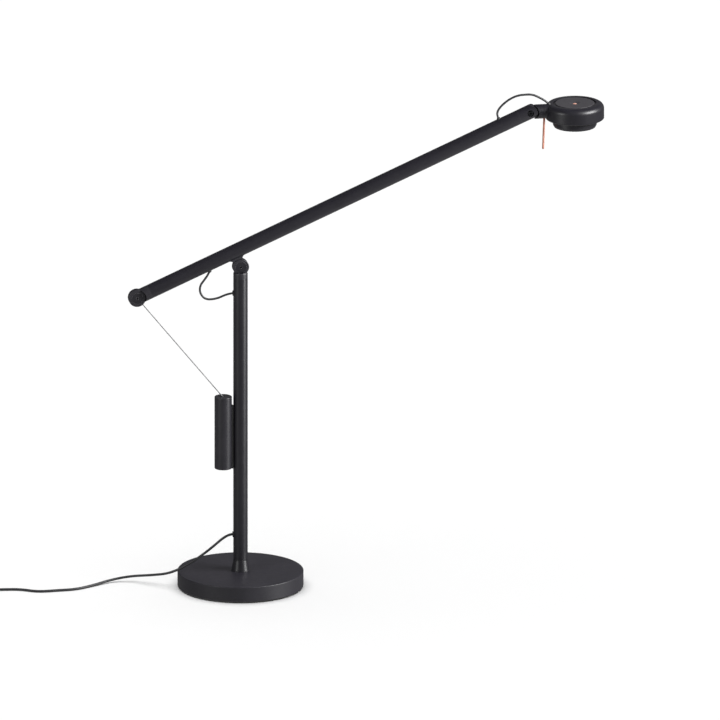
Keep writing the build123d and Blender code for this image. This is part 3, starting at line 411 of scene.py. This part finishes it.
def splineCurve(name, points, diameter=0.0):
    data = bpy.data.curves.new(name, "CURVE")
    data.dimensions = "3D"
    spline = data.splines.new("NURBS")
    spline.points.add(len(points) - 1)
    for point, place in zip(spline.points, points):
        point.co = (*[p * mm for p in place], 1)
    spline.order_u = curveLook["order"]
    spline.use_endpoint_u = True
    data.resolution_u = curveLook["steps"]
    data.bevel_depth = diameter / 2
    data.bevel_resolution = curveLook["around"]
    data.use_fill_caps = True
    return data


def linePoints(name, points):
    # the smooth line itself, as Blender draws it
    curve = bpy.data.objects.new(name, splineCurve(name, points))
    showInScene(curve)
    drawn = curve.evaluated_get(bpy.context.evaluated_depsgraph_get())
    mesh = bpy.data.meshes.new_from_object(drawn)
    line = [v.co.copy() for v in mesh.vertices]
    bpy.data.objects.remove(curve)
    return line


leadDiameter = 3 * mm
leadTube = {"sides": 20, "weld": 1e-7}


def tubeMesh(line, radius):
    # a round tube that follows a line without twisting
    around = leadTube["sides"]
    turns = [2 * pi * a / around for a in range(around)]
    bm = bmesh.new()
    rings = []
    side = None
    for i, here in enumerate(line):
        ahead = (line[min(i + 1, len(line) - 1)] - line[max(i - 1, 0)]).normalized()
        if side is None:
            side = ahead.orthogonal().normalized()
        side = (side - ahead * side.dot(ahead)).normalized()
        other = ahead.cross(side)
        rings.append([bm.verts.new(here + (side * cos(t) + other * sin(t)) * radius) for t in turns])
    for low, high in zip(rings, rings[1:]):
        for a in range(around):
            b = (a + 1) % around
            bm.faces.new([low[a], low[b], high[b], high[a]])
    bm.faces.new(rings[0][::-1])
    bm.faces.new(rings[-1])
    bmesh.ops.remove_doubles(bm, verts=bm.verts, dist=leadTube["weld"])
    bmesh.ops.recalc_face_normals(bm, faces=bm.faces)
    return meshFrom(bm, "shape")


def layCord():
    c = mainsCord
    data = splineCurve("lowVoltageCord", cordPoints(), c["diameter"])
    data.materials.append(looks["cordSheath"])
    cord = bpy.data.objects.new("lowVoltageCord", data)
    showInScene(cord)
    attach(cord, "post")
    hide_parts("low_voltage_cord", "spare_cord", "cord_tail")


layCord()

leads = {
    # given points again: the first from the arm pivot, the other two from the head joint
    "postLoop": {
        "from": pivot, "between": ("arm", "post"), "node": "post_loop", "length": 86 * mm,
        "route": [(-43.0, 0, -4.3), (-45.2, 0, -9.6), (-50.3, 0, -16.8), (-56.4, 0, -24.5),
                  (-57.0, 0, -35.4), (-49.2, 0, -45.7), (-33.0, 0, -45.0), (-18.5, 0, -38.6),
                  (-10.5, 0, -37.9)],
        "bends": ((-43.0, 0, -4.3), (-10.5, 0, -37.9)),
    },
    "headLoopRear": {
        "from": headJoint, "between": ("arm", "neck"), "node": "head_loop_rear", "length": 64 * mm,
        "route": [(-43.38, 0, -8.2), (-45.8, 0, -2.7), (-44.7, 0, 4.0), (-38.5, 0, 11.7),
                  (-28.6, 0, 19.3), (-16.9, 0, 24.5), (-2.6, 0, 25.13), (0.0, 0, 24.88)],
        "bends": ((-20, 0, 24.88), (0, 0, 24.88)),
    },
    "headLoopFront": {
        "from": headJoint, "between": ("neck", "head"), "node": "head_loop_front", "length": 31 * mm,
        "route": [(0.0, 0, 24.88), (4.75, 0, 24.43), (13.4, 0, 20.0), (21.9, 0, 14.8), (26.7, 0, 10.0)],
        "bends": ((0, 0, 24.88), (26.7, 0, 10.0)),
    },
}


def layLead(name):
    # a loop of lead that crosses one joint, laid as a fixed tube
    c = leads[name]
    line = [c["from"] + p for p in linePoints(name, c["route"])]
    mesh = tubeMesh(line, leadDiameter / 2)
    mesh.materials.append(looks["cordSheath"])
    smoothFaces(mesh, "leads")
    obj = bpy.data.objects.new(name, mesh)
    showInScene(obj)
    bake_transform(obj)
    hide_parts(c["node"])


for name in leads:
    layLead(name)
print("cord and leads laid")


studio = {
    "floor": {"colour": (0.92, 0.92, 0.92), "rough": 0.9, "reach": 20},
    # the world's strength, by how far up or down a ray looks
    "below": 0.60, "belowFade": (-0.9, -0.35), "sky": 0.20, "above": 0.07, "aboveFade": (0.3, 0.8),
    "beyond": 1.0, "sun": 3.26, "sunSpread": 80, "aim": (0.1, 0, 0.3),
    "key": {"place": (2.08, -1.0, 1.58), "size": (1.5, 1.0), "power": 118.0},
    "side": {"place": (1.55, -0.80, 0.28), "size": (0.5, 0.55), "power": 19.0},
    "fill": {"place": (-1.9, -1.2, 0.8), "size": (0.6, 1.2), "power": 21.0},
}


def studioFloor():
    look = studio["floor"]
    bm = bmesh.new()
    bmesh.ops.create_grid(bm, x_segments=1, y_segments=1, size=look["reach"])
    mesh = meshFrom(bm, "studioFloor")
    floor = bpy.data.objects.new("studioFloor", mesh)
    material, tree, shader = newMaterial("palePaper")
    shader.inputs["Base Color"].default_value = (*look["colour"], 1)
    shader.inputs["Roughness"].default_value = look["rough"]
    mesh.materials.append(material)
    showInScene(floor)
    floor.visible_glossy = False
    return floor


def softBox(name, apartFrom):
    # a rectangular soft light that looks at the lamp and leaves some things alone
    look = studio[name]
    data = bpy.data.lights.new(name + "Light", "AREA")
    data.shape = "RECTANGLE"
    data.size, data.size_y = look["size"]
    data.energy = look["power"]
    light = bpy.data.objects.new(name + "Light", data)
    light.location = look["place"]
    ahead = Vector(studio["aim"]) - light.location
    light.rotation_euler = ahead.to_track_quat("-Z", "Y").to_euler()
    showInScene(light)
    apart = bpy.data.collections.new(name + "Apart")
    for obj in apartFrom:
        apart.objects.link(obj)
    for entry in apart.collection_objects:
        entry.light_linking.link_state = "EXCLUDE"
    light.light_linking.receiver_collection = apart


def studioLight(floor):
    world = bpy.data.worlds.new("studioWorld")
    bpy.context.scene.world = world
    world.use_nodes = True
    tree = world.node_tree
    background = tree.nodes["Background"]
    background.inputs["Color"].default_value = (1, 1, 1, 1)
    # dim overhead, and bright from below, as a pale floor is in a coat of lacquer
    split = addNode(tree, "ShaderNodeSeparateXYZ")
    tree.links.new(addNode(tree, "ShaderNodeTexCoord").outputs["Generated"], split.inputs["Vector"])
    low = ramp(tree, split.outputs["Z"], studio["below"], studio["sky"], *studio["belowFade"])
    high = ramp(tree, split.outputs["Z"], 0, studio["above"] - studio["sky"], *studio["aboveFade"])
    shine = addNode(tree, "ShaderNodeMath", operation="ADD")
    tree.links.new(low, shine.inputs[0])
    tree.links.new(high, shine.inputs[1])
    # beyond the floor's edge the camera sees plain white
    seen = addNode(tree, "ShaderNodeMix", B=studio["beyond"])
    tree.links.new(addNode(tree, "ShaderNodeLightPath").outputs["Is Camera Ray"], seen.inputs["Factor"])
    tree.links.new(shine.outputs["Value"], seen.inputs["A"])
    tree.links.new(seen.outputs["Result"], background.inputs["Strength"])
    sun = bpy.data.lights.new("ceilingLight", "SUN")
    sun.energy, sun.angle = studio["sun"], radians(studio["sunSpread"])
    ceiling = bpy.data.objects.new("ceilingLight", sun)
    ceiling.visible_glossy = False
    showInScene(ceiling)
    softBox("key", [floor])
    softBox("side", [floor, nodes["light_ring"], nodes["head_housing"]])
    softBox("fill", [floor])
    bpy.context.scene.view_settings.view_transform = "Standard"


studioLight(studioFloor())
print("studio set")
